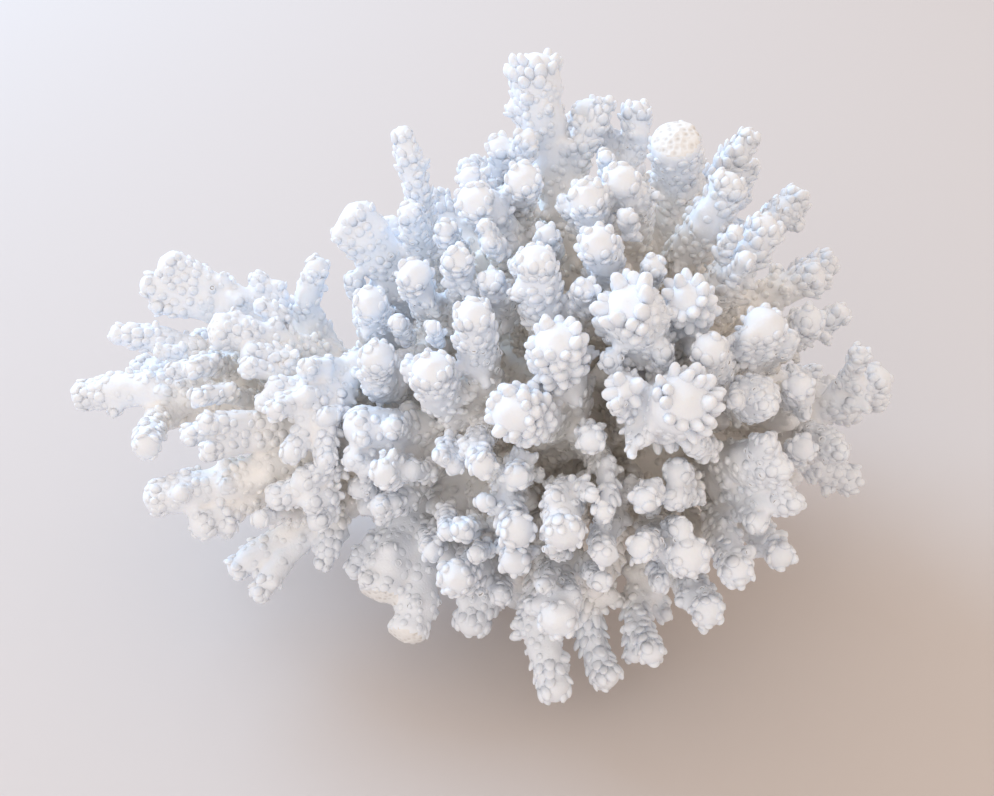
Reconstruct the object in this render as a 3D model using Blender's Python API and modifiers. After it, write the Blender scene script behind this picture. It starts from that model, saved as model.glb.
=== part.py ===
# Branching coral: a bleached white colony of short, knobbly fingers.
#
# The colony grew as a low mass with a flat cut below, where it left the reef. Stout branches
# stand out from the mass at the colony's main forks, and each branch splits into fingers.
# Each finger that the reference picture shows is placed by the pixels of its tip and its root.
# Those of the far side and the underside are spread evenly over the same rounded crown.
#
# Metres, +Z up, -Y towards the viewer, origin at the middle of the flat cut.

import math
import random

import bmesh
import bpy
from mathutils import Vector, kdtree

MM = 0.001
COLLECTION = "branching_coral"
CUTTER_COLLECTION = "seat_cutters"

# The two rounded masses of fingers: where they are and how far their tips reach
CROWN_CENTRE = Vector((10, 0, 38)) * MM
CROWN_RADII = Vector((46, 50, 46)) * MM
LOBE_CENTRE = Vector((-44, -3, 31)) * MM
LOBE_RADII = Vector((33, 27, 23)) * MM
ROOT_DEPTH = 0.64          # fingers leave their branch on the crown shrunk to this share
LOWEST_TIP = 10 * MM       # how high a low finger hangs over the table
LOWEST_ROOT = 15 * MM
TABLE_CLEARANCE = 0.6 * MM

# Branches and fingers
STEM_WIDTH = 10 * MM
STEM_TAPER = 0.45          # the share of a line's length over which the stem thins to a finger
STEM_BURIED = 4 * MM       # how far a stem's line starts under its seat
STEM_STRAIGHT = 2.4 * MM   # and runs square to it above
FORK_HEIGHT = 6 * MM
FORK_LEAN = 0.2            # towards the middle of the branch's roots
KNOB_STEP = 3.2 * MM       # along a finger, from one ring of lumps to the next
KNOB_SWELL = 0.14
TIP_BLUNTNESS = 0.16

# Clearances between the solids
FORK_GAP = 0.3 * MM        # between a branch and its seat
SIDE_GAP = 0.9 * MM        # between fingers of different branches
CROWDING_REACH = 14 * MM
BENDING_ROUNDS = 40
THINNEST = 0.9 * MM
MOST_THINNING = 0.6        # where a finger passes close over the mass

# The mass: a tapered ridge from the left arm to the middle, over a foot that is cut flat
RIDGE_LEFT = Vector((-27, -2, 25)) * MM
RIDGE_RIGHT = Vector((13, 1, 27)) * MM
RIDGE_LEFT_RADIUS = 12 * MM
RIDGE_RIGHT_RADIUS = 21 * MM
RIDGE_STEPS = 8
FOOT_RADIUS = 18 * MM
FOOT_TOP_RADIUS = 15 * MM
FOOT_HEIGHT = 20 * MM
FOOT_SPARE = 3 * MM        # cut off below to leave the flat face
FOOT_LUMPS = 9             # worn stumps of old branches round the foot
FOOT_LUMP_RADIUS = 6 * MM
FOOT_BULGE = 2 * MM

# The flat seats on which the branches stand
SEAT_SINK = 1.3 * MM
SEAT_RADIUS = 6.9 * MM
SEAT_SPACING = 11 * MM
SEAT_LEAST_SLOPE = -0.10   # how far below level a branch may leave the mass
SEAT_CUTTER_DEPTH = 8 * MM
SPREADING_ROUNDS = 200

# Meshing
GRAIN = 0.75 * MM          # voxel size that fuses the overlapping fingers of a branch
TRIANGLES_PER_MM = 1.9     # of finger and stem
MASS_TRIANGLES = 300
WELD = 0.01 * MM

# How the reference picture was taken, which turns its pixels into places
PHOTO_SIZE = (994, 796)
PHOTO_LENS = 50.0          # for a picture 36 wide
PHOTO_WIDE = 36.0
PHOTO_ELEVATION = math.radians(40)
PHOTO_DISTANCE = 237.5 * MM
PHOTO_AIM = Vector((-7.7, -1.4, 36.3)) * MM

random.seed(11)


def finger(tip, root, width, depth=1.0, hang=10.0):
    """A finger seen in the picture: its two ends in pixels, its width in mm, how far out its tip
    lies as a share of the crown, and the least height of its tip over the table in mm."""
    return {"tip": tip, "root": root, "width": width * MM, "depth": depth, "hang": hang * MM}


# Fingers by the branch that carries them, from the colony's left end to its right
PICTURED = {
    "left_end_branch": [
        finger((69, 398), (190, 386), 6.6),
        finger((105, 334), (206, 345), 5.8),
        finger((145, 453), (166, 404), 5.4),
        finger((187, 373), (232, 354), 4.6),
        finger((190, 403), (246, 388), 4.4),
    ],
    "left_upper_branch": [
        finger((156, 258), (240, 302), 6.4),
        finger((136, 282), (196, 298), 5.4),
        finger((146, 307), (200, 308), 4.0, 0.96),
        finger((204, 328), (300, 352), 6.8),
        finger((256, 267), (264, 326), 4.4),
        finger((273, 276), (284, 326), 4.6, 0.96),
        finger((321, 258), (294, 326), 5.4),
    ],
    "left_lower_branch": [
        finger((139, 499), (250, 480), 7.0),
        finger((188, 530), (252, 503), 6.0),
        finger((194, 423), (270, 414), 5.0),
        finger((198, 456), (256, 438), 4.8),
        finger((178, 438), (246, 428), 4.8, 0.96),
    ],
    "left_foot_branch": [
        finger((227, 577), (286, 530), 5.8, 1.0, 6),
        finger((253, 603), (292, 542), 5.4, 1.0, 3.0),
        finger((320, 574), (346, 502), 5.0, 1.0, 8),
        finger((252, 523), (284, 498), 3.8, 0.96),
    ],
    "left_face_branch": [
        finger((266, 414), (322, 396), 5.0),
        finger((300, 367), (350, 372), 4.8),
        finger((239, 366), (290, 374), 4.2, 0.96),
        finger((332, 468), (330, 440), 4.8, 0.95),
        finger((286, 462), (306, 440), 4.8, 0.94),
    ],
    "back_left_branch": [
        finger((398, 123), (426, 212), 5.2),
        finger((346, 202), (390, 262), 7.8),
        finger((332, 224), (372, 264), 4.6, 0.98),
        finger((407, 205), (426, 262), 5.6),
        finger((352, 272), (364, 320), 4.4),
    ],
    "upper_left_branch": [
        finger((368, 297), (396, 358), 6.4),
        finger((411, 267), (438, 338), 6.6),
        finger((456, 252), (462, 312), 5.6),
        finger((380, 353), (396, 402), 6.2, 0.98),
        finger((446, 226), (468, 268), 5.0, 0.96),
    ],
    "front_left_branch": [
        finger((340, 428), (400, 424), 7.2),
        finger((342, 460), (396, 452), 5.4),
        finger((390, 426), (424, 432), 4.8, 0.92),
        finger((378, 474), (430, 462), 5.8),
        finger((372, 508), (440, 500), 5.4),
    ],
    "low_left_branch": [
        finger((380, 605), (397, 540), 8.4),
        finger((347, 580), (372, 536), 4.6),
        finger((403, 645), (428, 586), 7.6, 1.0, 5),
        finger((434, 556), (436, 526), 4.8, 0.95),
    ],
    "middle_left_branch": [
        finger((470, 304), (484, 390), 7.4),
        finger((429, 362), (454, 424), 8.0),
        finger((487, 474), (492, 424), 6.0, 0.98),
        finger((406, 364), (424, 400), 4.4, 0.95),
    ],
    "top_left_branch": [
        finger((466, 196), (510, 248), 7.8),
        finger((466, 174), (502, 218), 5.0),
        finger((498, 138), (512, 206), 6.2),
        finger((528, 134), (518, 200), 5.4),
        finger((524, 176), (520, 226), 6.4, 0.98),
        finger((546, 230), (556, 266), 5.0, 0.9),
        finger((488, 272), (516, 326), 5.6, 0.92),
    ],
    "summit_branch": [
        finger((533, 49), (560, 180), 9.4),
        finger((508, 97), (556, 170), 5.4),
        finger((606, 98), (580, 170), 5.4, 0.9),
    ],
    "top_branch": [
        finger((588, 105), (602, 190), 7.4),
        finger((634, 97), (634, 180), 6.4, 0.95),
        finger((586, 188), (596, 244), 7.2),
        finger((617, 172), (648, 232), 7.0),
    ],
    "top_right_branch": [
        finger((675, 132), (680, 222), 9.4),
        finger((758, 129), (700, 196), 6.2),
        finger((738, 171), (682, 254), 7.8),
    ],
    "upper_middle_branch": [
        finger((533, 247), (548, 338), 7.4),
        finger((588, 286), (572, 322), 5.0, 0.95),
        finger((592, 236), (614, 284), 7.2),
        finger((654, 262), (648, 296), 5.4, 0.95),
    ],
    "centre_branch": [
        finger((553, 331), (572, 404), 8.6),
        finger((501, 411), (562, 420), 8.2),
        finger((592, 442), (590, 430), 5.4, 0.92),
        finger((597, 522), (592, 462), 5.0, 0.97),
    ],
    "centre_right_branch": [
        finger((620, 296), (654, 358), 10.0, 1.02),
        finger((684, 289), (700, 350), 7.4, 0.98),
        finger((690, 398), (652, 416), 10.4, 1.06),
        finger((626, 384), (628, 406), 5.0, 1.0),
    ],
    "right_upper_branch": [
        finger((774, 213), (708, 304), 7.4),
        finger((828, 273), (758, 300), 7.2, 0.9),
    ],
    "right_face_branch": [
        finger((772, 315), (730, 372), 7.6),
        finger((795, 333), (748, 372), 5.8, 0.97),
        finger((708, 344), (716, 384), 6.4),
        finger((772, 414), (734, 392), 7.0),
        finger((851, 307), (782, 348), 5.6, 0.9),
        finger((812, 318), (778, 350), 6.8, 0.92),
    ],
    "right_end_branch": [
        finger((892, 371), (800, 424), 7.4),
        finger((862, 347), (846, 392), 4.4, 0.98),
        finger((800, 384), (786, 410), 6.0, 0.95),
        finger((847, 455), (794, 432), 6.6, 0.95),
    ],
    "right_lower_branch": [
        finger((808, 508), (716, 476), 7.4),
        finger((794, 470), (716, 462), 7.8),
        finger((769, 434), (744, 478), 5.6, 0.98),
        finger((806, 446), (768, 468), 5.2, 0.9),
        finger((741, 583), (712, 506), 6.4),
        finger((785, 561), (738, 510), 6.0, 0.96),
    ],
    "low_right_branch": [
        finger((696, 563), (652, 528), 7.6),
        finger((632, 550), (640, 512), 6.2, 0.98),
        finger((712, 617), (674, 560), 6.8),
        finger((658, 661), (620, 588), 5.8, 1.0, 9),
        finger((636, 667), (612, 598), 5.2, 0.9, 5),
        finger((667, 626), (648, 580), 5.0, 0.86, 8),
    ],
    "front_right_branch": [
        finger((610, 561), (606, 502), 5.8),
        finger((614, 690), (578, 612), 6.4),
        finger((640, 502), (618, 488), 5.6, 0.96),
    ],
    "front_branch": [
        finger((566, 548), (572, 468), 7.4, 1.03),
        finger((556, 628), (566, 556), 7.4, 1.03),
        finger((558, 706), (552, 626), 7.4),
        finger((603, 578), (580, 560), 4.0, 1.0),
    ],
    "front_low_branch": [
        finger((464, 638), (490, 572), 7.8),
        finger((450, 580), (496, 548), 7.4),
        finger((528, 537), (532, 470), 6.6, 0.98),
        finger((512, 478), (532, 466), 6.0, 0.94),
        finger((460, 530), (494, 520), 4.4, 0.95),
        finger((514, 566), (516, 516), 6.0, 0.95),
    ],
}

# The far side and the underside, which the picture doesn't show: which of the two rounded masses
# of fingers a branch belongs to, its direction in degrees (azimuth from +X towards +Y,
# elevation), and the number of fingers on it
UNSEEN = {
    "back_right_branch": {"of": "crown", "azimuth": 38, "elevation": 22, "fingers": 5},
    "back_middle_branch": {"of": "crown", "azimuth": 74, "elevation": 14, "fingers": 6},
    "back_branch": {"of": "crown", "azimuth": 106, "elevation": 26, "fingers": 6},
    "back_upper_branch": {"of": "crown", "azimuth": 136, "elevation": 24, "fingers": 5},
    "back_end_branch": {"of": "lobe", "azimuth": 126, "elevation": 6, "fingers": 5},
    "back_low_branch": {"of": "crown", "azimuth": 92, "elevation": -16, "fingers": 4},
    "right_under_branch": {"of": "crown", "azimuth": 8, "elevation": -14, "fingers": 4},
}
UNSEEN_WIDTH = 6.6 * MM
UNSEEN_REACH = (1.0, 1.12)
UNSEEN_SPACING = 5.6 * MM  # between turns of the spiral in which a branch's tips are tried
MOST_TRIES = 60
TIP_SPACING = 9.5 * MM


# Places from pixels


def ray_through(pixel):
    """The viewpoint, and the unit direction in which it sees this pixel."""
    forward = Vector((0, math.cos(PHOTO_ELEVATION), -math.sin(PHOTO_ELEVATION)))
    up = Vector((0, math.sin(PHOTO_ELEVATION), math.cos(PHOTO_ELEVATION)))
    right = Vector((1, 0, 0))
    per_pixel = PHOTO_WIDE / PHOTO_LENS / PHOTO_SIZE[0]
    across = (pixel[0] - PHOTO_SIZE[0] / 2) * per_pixel
    down = (pixel[1] - PHOTO_SIZE[1] / 2) * per_pixel
    eye = PHOTO_AIM - forward * PHOTO_DISTANCE
    return eye, (forward + right * across - up * down).normalized()


def over(vector, radii):
    return Vector((vector.x / radii.x, vector.y / radii.y, vector.z / radii.z))


def place_on_crown(pixel, share, lowest):
    """Where the line of sight first meets the crown or the left lobe, each shrunk to this share,
    or where it passes nearest to one of them. It stays at least `lowest` over the table."""
    eye, sight = ray_through(pixel)
    hits = []
    passes = []
    for centre, radii in ((CROWN_CENTRE, CROWN_RADII), (LOBE_CENTRE, LOBE_RADII)):
        start = over(eye - centre, radii * share)
        step = over(sight, radii * share)
        nearest = -start.dot(step) / step.length_squared
        miss = (start + step * nearest).length
        if miss < 1:
            hits.append(nearest - math.sqrt((1 - miss * miss) / step.length_squared))
        passes.append((miss, nearest))
    along = min(hits) if hits else min(passes)[1]
    along_to_lowest = (lowest - eye.z) / sight.z
    return eye + sight * min(along, along_to_lowest)


# The skeleton: every stem and finger as a line of round sections


def ridge_point(place):
    """The nearest point of the mass's inner ridge to a place, and the mass's radius there."""
    along = RIDGE_RIGHT - RIDGE_LEFT
    share = max(0.0, min(1.0, (place - RIDGE_LEFT).dot(along) / along.length_squared))
    radius = RIDGE_LEFT_RADIUS + (RIDGE_RIGHT_RADIUS - RIDGE_LEFT_RADIUS) * share
    return RIDGE_LEFT + along * share, radius


def seat_towards(place):
    """Where a branch that leads to this place stands on the mass, and the way it leaves it."""
    inside, radius = ridge_point(place)
    way = place - inside
    way.z = max(way.z, SEAT_LEAST_SLOPE * way.length)
    way.normalize()
    return inside + way * (radius - SEAT_SINK), way


def pictured_fingers():
    return {
        branch: [
            {
                "tip": place_on_crown(row["tip"], row["depth"], row["hang"]),
                "root": place_on_crown(row["root"], row["depth"] * ROOT_DEPTH, LOWEST_ROOT),
                "width": row["width"],
            }
            for row in rows
        ]
        for branch, rows in PICTURED.items()
    }


def unseen_fingers(tips):
    """Fingers in a sunflower order round each unseen branch, clear of all the tips so far."""
    found = {}
    golden_turn = math.pi * (3 - math.sqrt(5))
    for branch, row in UNSEEN.items():
        azimuth, elevation = math.radians(row["azimuth"]), math.radians(row["elevation"])
        way = Vector((math.cos(azimuth) * math.cos(elevation),
                      math.sin(azimuth) * math.cos(elevation), math.sin(elevation)))
        centre, radii = CROWN_CENTRE, CROWN_RADII
        if row["of"] == "lobe":
            centre, radii = LOBE_CENTRE, LOBE_RADII
        side = way.cross(Vector((0, 0, 1))).normalized()
        above = side.cross(way)
        fingers = []
        for n in range(MOST_TRIES):
            turn = n * golden_turn
            aside = (side * math.cos(turn) + above * math.sin(turn)) * UNSEEN_SPACING * math.sqrt(n)
            tip = way * radii + aside
            tip = centre + tip / over(tip, radii).length * random.uniform(*UNSEEN_REACH)
            tip.z = max(tip.z, LOWEST_TIP)
            if any((tip - other).length < TIP_SPACING for other in tips):
                continue
            tips.append(tip)
            root = centre + (tip - centre) * ROOT_DEPTH
            root.z = max(root.z, LOWEST_ROOT)
            fingers.append({"tip": tip, "root": root, "width": UNSEEN_WIDTH})
            if len(fingers) == row["fingers"]:
                break
        found[branch] = fingers
    return found


def spread_seats(seats):
    """Moves the seats apart over the mass until their stems have room."""
    for _ in range(SPREADING_ROUNDS):
        for seat in seats:
            push = Vector()
            for other in seats:
                apart = seat["at"] - other["at"]
                if 0 < apart.length < SEAT_SPACING:
                    push += apart.normalized() * (SEAT_SPACING - apart.length) * 0.3
            seat["at"], seat["way"] = seat_towards(seat["at"] + seat["way"] * STEM_STRAIGHT + push)


def curved(points, step):
    """A smooth line through the points, with a section about every `step`."""
    line = []
    for n in range(len(points) - 1):
        before = points[max(n - 1, 0)]
        start, end = points[n], points[n + 1]
        after = points[min(n + 2, len(points) - 1)]
        steps = max(2, round((end - start).length / step))
        for k in range(steps):
            t = k / steps
            line.append(0.5 * (2 * start + (end - before) * t
                               + (2 * before - 5 * start + 4 * end - after) * t * t
                               + (3 * start - before - 3 * end + after) * t * t * t))
    line.append(points[-1].copy())
    return line


def line_of(finger_row, seat):
    """One finger from its seat to its tip: sections, radii, and how freely each one may move."""
    full = finger_row["width"] / 2
    fork = (seat["at"] + seat["way"] * FORK_HEIGHT).lerp(seat["middle"], FORK_LEAN)
    points = curved([seat["at"] - seat["way"] * STEM_BURIED,
                     seat["at"] + seat["way"] * STEM_STRAIGHT,
                     fork, finger_row["root"], finger_row["tip"]], KNOB_STEP)
    back = (points[-2] - points[-1]).normalized()
    points.insert(-1, points[-1] + back * full * (1 - math.sqrt(0.5)))
    along = [0.0]
    for a, b in zip(points, points[1:]):
        along.append(along[-1] + (b - a).length)
    length = along[-1]
    radii = []
    for n, distance in enumerate(along):
        taper = min(1.0, distance / length / STEM_TAPER)
        thick = STEM_WIDTH / 2 + (full - STEM_WIDTH / 2) * taper
        left = length - distance
        if left < full:
            thick = full * math.sqrt(max(TIP_BLUNTNESS, 1 - (1 - left / full) ** 2))
        elif n % 2 == 0:
            thick *= 1 + KNOB_SWELL
        radii.append(thick)
    fixed = STEM_BURIED + STEM_STRAIGHT + WELD
    free = [0.0 if d < fixed else 1 - 0.65 * d / length for d in along]
    return {"branch": seat["branch"], "seat": seat, "points": points, "radii": radii,
            "free": free}


def grow():
    """The branches' seats on the mass, and the line of every finger."""
    branches = pictured_fingers()
    tips = [row["tip"] for fingers in branches.values() for row in fingers]
    branches.update(unseen_fingers(tips))
    seats = []
    for name, fingers in branches.items():
        middle = sum((row["root"] for row in fingers), Vector()) / len(fingers)
        at, way = seat_towards(middle)
        seats.append({"branch": name, "at": at, "way": way, "middle": middle})
    spread_seats(seats)
    lines = [line_of(row, seat) for seat in seats for row in branches[seat["branch"]]]
    bend_apart(lines)
    thin_apart(lines)
    return seats, lines


def out_of_mass(line, n):
    """The way and the distance by which a finger's section has to leave the mass."""
    point, radius, seat = line["points"][n], line["radii"][n], line["seat"]
    above = (point - seat["at"]).dot(seat["way"])
    aside = (point - seat["at"] - seat["way"] * above).length
    if aside < SEAT_SINK:
        return Vector()
    inside, mass_radius = ridge_point(point)
    away = point - inside
    push = away.normalized() * max(0.0, mass_radius + radius + SIDE_GAP - away.length)
    if point.z < FOOT_HEIGHT:
        away = Vector((point.x, point.y, 0))
        short = FOOT_RADIUS + FOOT_BULGE + radius + SIDE_GAP - away.length
        push += away.normalized() * max(0.0, short)
    return push


def index_of(lines):
    spots = [(line, n) for line in lines for n in range(len(line["points"]))]
    tree = kdtree.KDTree(len(spots))
    for k, (line, n) in enumerate(spots):
        tree.insert(line["points"][n], k)
    tree.balance()
    return spots, tree


def crowders(line, n, spots, tree):
    """The sections of other branches' fingers that come too near this one, with the distance
    and the distance that they need."""
    for _, k, distance in tree.find_range(line["points"][n], CROWDING_REACH):
        other, m = spots[k]
        room = line["radii"][n] + other["radii"][m] + SIDE_GAP
        if other["branch"] != line["branch"] and 0 < distance < room:
            yield other, m, distance, room


def bend_apart(lines):
    """Bends the fingers of different branches away from each other and off the mass."""
    for _ in range(BENDING_ROUNDS):
        spots, tree = index_of(lines)
        for line in lines:
            for n, point in enumerate(line["points"]):
                push = out_of_mass(line, n) * 0.5
                for other, m, distance, room in crowders(line, n, spots, tree):
                    push += (point - other["points"][m]).normalized() * (room - distance) * 0.25
                line["points"][n] = point + push * line["free"][n]
        for line in lines:
            points = line["points"]
            smooth = [point.copy() for point in points]
            for n in range(2, len(points) - 1):
                if line["free"][n]:
                    smooth[n] = points[n].lerp((points[n - 1] + points[n + 1]) / 2, 0.12)
            for point, radius in zip(smooth, line["radii"]):
                point.z = max(point.z, radius * (1 + KNOB_SWELL) + TABLE_CLEARANCE)
            line["points"] = smooth


def thin_apart(lines):
    """Thins what still touches after the bending."""
    spots, tree = index_of(lines)
    thinned = []
    for line in lines:
        radii = []
        for n, radius in enumerate(line["radii"]):
            limit = radius
            for other, m, distance, _ in crowders(line, n, spots, tree):
                share = radius / (radius + other["radii"][m])
                limit = min(limit, (distance - SIDE_GAP) * share)
            if line["free"][n]:
                over_mass = max(radius * MOST_THINNING, radius - out_of_mass(line, n).length)
                limit = min(limit, over_mass)
            radii.append(max(limit, THINNEST))
        thinned.append(radii)
    for line, radii in zip(lines, thinned):
        line["radii"] = radii


# Solids


def bleached(name):
    """The bleached skeleton: dull white with a warm cast."""
    material = bpy.data.materials.new(name + "_skeleton")
    material.use_nodes = True
    surface = material.node_tree.nodes["Principled BSDF"]
    surface.inputs["Base Color"].default_value = (0.90, 0.89, 0.86, 1)
    surface.inputs["Roughness"].default_value = 0.62
    surface.inputs["Metallic"].default_value = 0.0
    return material


def new_collection(name):
    collection = bpy.data.collections.new(name)
    bpy.context.scene.collection.children.link(collection)
    return collection


def draw_in(collection):
    """Makes the primitives that follow land in this collection."""
    layer = bpy.context.view_layer.layer_collection.children[collection.name]
    bpy.context.view_layer.active_layer_collection = layer


def into_mesh(obj, name, collection):
    """Replaces an object by the mesh that its bevel and its modifiers make."""
    obj.name = name + "_source"
    graph = bpy.context.evaluated_depsgraph_get()
    mesh = bpy.data.meshes.new_from_object(obj.evaluated_get(graph))
    made = bpy.data.objects.new(name, mesh)
    made.matrix_world = obj.matrix_world
    collection.objects.link(made)
    bpy.data.objects.remove(obj)
    work = bmesh.new()
    work.from_mesh(mesh)
    bmesh.ops.remove_doubles(work, verts=work.verts, dist=WELD)
    work.to_mesh(mesh)
    work.free()
    bpy.context.view_layer.update()
    return made


def tubes(name, lines, collection):
    """One closed tube for each line of sections."""
    curve = bpy.data.curves.new(name, "CURVE")
    curve.dimensions = "3D"
    curve.bevel_depth = 1.0
    curve.bevel_resolution = 2
    curve.use_fill_caps = True
    for line in lines:
        spline = curve.splines.new("POLY")
        spline.points.add(len(line["points"]) - 1)
        for spot, point, radius in zip(spline.points, line["points"], line["radii"]):
            spot.co = (*point, 1)
            spot.radius = radius
    obj = bpy.data.objects.new(name, curve)
    collection.objects.link(obj)
    bpy.context.view_layer.update()
    return into_mesh(obj, name, collection)


def fuse(obj, triangles, collection):
    """Fuses overlapping closed shells to one skin and thins its faces."""
    name = obj.name
    skin = obj.modifiers.new("fuse", "REMESH")
    skin.mode = "VOXEL"
    skin.voxel_size = GRAIN
    relax = obj.modifiers.new("relax", "SMOOTH")
    relax.factor = 0.5
    relax.iterations = 2
    made = into_mesh(obj, name, collection)
    made.data.calc_loop_triangles()
    thin = made.modifiers.new("thin", "DECIMATE")
    thin.ratio = min(1.0, triangles / len(made.data.loop_triangles))
    return into_mesh(made, name, collection)


def cut_flat(mesh, point, normal):
    """Cuts off what lies behind the plane and closes the cut with a flat face."""
    work = bmesh.new()
    work.from_mesh(mesh)
    cut = bmesh.ops.bisect_plane(work, geom=[*work.verts, *work.edges, *work.faces],
                                 dist=WELD / 10, plane_co=point, plane_no=normal,
                                 clear_inner=True)
    rim = [item for item in cut["geom_cut"] if isinstance(item, bmesh.types.BMEdge)]
    bmesh.ops.holes_fill(work, edges=rim)
    bmesh.ops.triangulate(work, faces=[face for face in work.faces if len(face.verts) > 3])
    drop_scraps(work)
    bmesh.ops.recalc_face_normals(work, faces=work.faces)
    work.to_mesh(mesh)
    work.free()


def drop_scraps(work):
    """Deletes the small bits that a cut left apart from the piece."""
    unsorted = set(work.verts)
    groups = []
    while unsorted:
        group = []
        rim = [unsorted.pop()]
        while rim:
            vert = rim.pop()
            group.append(vert)
            near = [edge.other_vert(vert) for edge in vert.link_edges]
            fresh = [other for other in near if other in unsorted]
            unsorted.difference_update(fresh)
            rim.extend(fresh)
        groups.append(group)
    groups.sort(key=len)
    bmesh.ops.delete(work, geom=[v for group in groups[:-1] for v in group], context="VERTS")


def finish(obj):
    """Gives a node its own material and smooth shading with sharp cut edges."""
    obj.data.materials.clear()
    obj.data.materials.append(bleached(obj.name))
    obj.data.shade_smooth()
    obj.data.set_sharp_from_angle(angle=math.radians(50))


def join(parts):
    bpy.ops.object.select_all(action="DESELECT")
    for part in parts:
        part.select_set(True)
    bpy.context.view_layer.objects.active = parts[0]
    bpy.ops.object.join()
    return parts[0]


def mass_shapes(collection):
    """The ridge with its round ends, the foot and the stumps round it, as overlapping shapes."""
    sections = []
    for n in range(RIDGE_STEPS + 1):
        share = n / RIDGE_STEPS
        radius = RIDGE_LEFT_RADIUS + (RIDGE_RIGHT_RADIUS - RIDGE_LEFT_RADIUS) * share
        sections.append((RIDGE_LEFT.lerp(RIDGE_RIGHT, share), radius))
    shapes = [tubes("holdfast", [{"points": [point for point, _ in sections],
                                  "radii": [radius for _, radius in sections]}], collection)]
    for centre, radius in (sections[0], sections[-1]):
        bpy.ops.mesh.primitive_uv_sphere_add(segments=24, ring_count=16, radius=radius,
                                             location=centre)
        shapes.append(bpy.context.object)
    bpy.ops.mesh.primitive_cone_add(vertices=32, radius1=FOOT_RADIUS, radius2=FOOT_TOP_RADIUS,
                                    depth=FOOT_HEIGHT + FOOT_SPARE,
                                    location=(0, 0, (FOOT_HEIGHT - FOOT_SPARE) / 2))
    shapes.append(bpy.context.object)
    for n in range(FOOT_LUMPS):
        turn = math.tau * n / FOOT_LUMPS + random.uniform(-0.25, 0.25)
        out = FOOT_RADIUS - FOOT_LUMP_RADIUS + random.uniform(-0.5, 1.0) * FOOT_BULGE
        bpy.ops.mesh.primitive_uv_sphere_add(
            segments=16, ring_count=12, radius=FOOT_LUMP_RADIUS * random.uniform(0.85, 1.15),
            location=(out * math.cos(turn), out * math.sin(turn), random.uniform(3, 13) * MM))
        shapes.append(bpy.context.object)
    return shapes


def build_mass(seats, collection, cutters):
    """The low mass that all the branches stand on, cut flat underneath and at each seat."""
    mass = fuse(join(mass_shapes(collection)), MASS_TRIANGLES, collection)
    cut_flat(mass.data, Vector((0, 0, 0)), Vector((0, 0, 1)))
    draw_in(cutters)
    discs = []
    for seat in seats:
        bpy.ops.mesh.primitive_cylinder_add(
            vertices=8, radius=SEAT_RADIUS, depth=SEAT_CUTTER_DEPTH,
            location=seat["at"] + seat["way"] * SEAT_CUTTER_DEPTH / 2,
            rotation=seat["way"].to_track_quat("Z", "Y").to_euler())
        discs.append(bpy.context.object)
    cutter = join(discs)
    cutter.name = "seats"
    cutter.hide_render = True
    cutter.display_type = "WIRE"
    cut = mass.modifiers.new("seats", "BOOLEAN")
    cut.operation = "DIFFERENCE"
    cut.solver = "EXACT"
    cut.use_self = True
    cut.object = cutter
    finish(into_mesh(mass, "holdfast", collection))


def build_branch(seat, lines, collection):
    """One branch: its fingers fused from the fork outward, with a flat face on its seat."""
    length = 0.0
    for line in lines:
        points = line["points"]
        length += sum((b - a).length for a, b in zip(points[4:], points[5:]))
    branch = fuse(tubes(seat["branch"], lines, collection),
                  round(length / MM * TRIANGLES_PER_MM), collection)
    cut_flat(branch.data, seat["at"] + seat["way"] * FORK_GAP, seat["way"])
    finish(branch)


def main():
    for obj in list(bpy.data.objects):
        bpy.data.objects.remove(obj)
    collection = new_collection(COLLECTION)
    cutters = new_collection(CUTTER_COLLECTION)
    draw_in(collection)
    seats, lines = grow()
    build_mass(seats, collection, cutters)
    for seat in seats:
        own = [line for line in lines if line["seat"] is seat]
        build_branch(seat, own, collection)


main()
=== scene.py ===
# Branching coral, bleached white, as it lies on pale paper.
# Every finger is modelled with its nubs and cups and laid along the line that the solids follow.

import bisect
import math
import random

import bmesh
import bpy
from mathutils import Matrix, Vector, bvhtree, kdtree, noise


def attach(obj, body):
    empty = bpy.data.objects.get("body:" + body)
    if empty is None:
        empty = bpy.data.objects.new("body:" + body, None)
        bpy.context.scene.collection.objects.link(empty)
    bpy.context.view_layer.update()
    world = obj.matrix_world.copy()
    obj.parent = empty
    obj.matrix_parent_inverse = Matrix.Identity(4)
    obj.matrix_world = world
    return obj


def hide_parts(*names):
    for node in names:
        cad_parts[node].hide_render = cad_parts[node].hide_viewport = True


mm = 0.001
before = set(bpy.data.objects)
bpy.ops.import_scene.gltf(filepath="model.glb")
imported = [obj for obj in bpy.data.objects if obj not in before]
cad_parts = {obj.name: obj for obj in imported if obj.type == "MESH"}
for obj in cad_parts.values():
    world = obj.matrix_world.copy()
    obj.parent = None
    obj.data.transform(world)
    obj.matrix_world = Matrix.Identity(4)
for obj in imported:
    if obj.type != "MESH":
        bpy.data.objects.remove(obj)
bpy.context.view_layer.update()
print("frame loaded,", len(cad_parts), "nodes")


# How the colony is seen. The same view turns pixels into places.
photo = {
    "width": 994,
    "height": 796,
    "lens": 50.0,
    "sensor": 36.0,
    "elevation": math.radians(40),
    "distance": 237.5 * mm,
    "aim": Vector((-7.7, -1.4, 36.3)) * mm,
}

# The two rounded masses of fingers
crown = {"centre": Vector((10, 0, 38)) * mm, "radii": Vector((46, 50, 46)) * mm}
lobe = {"centre": Vector((-44, -3, 31)) * mm, "radii": Vector((33, 27, 23)) * mm}

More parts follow.
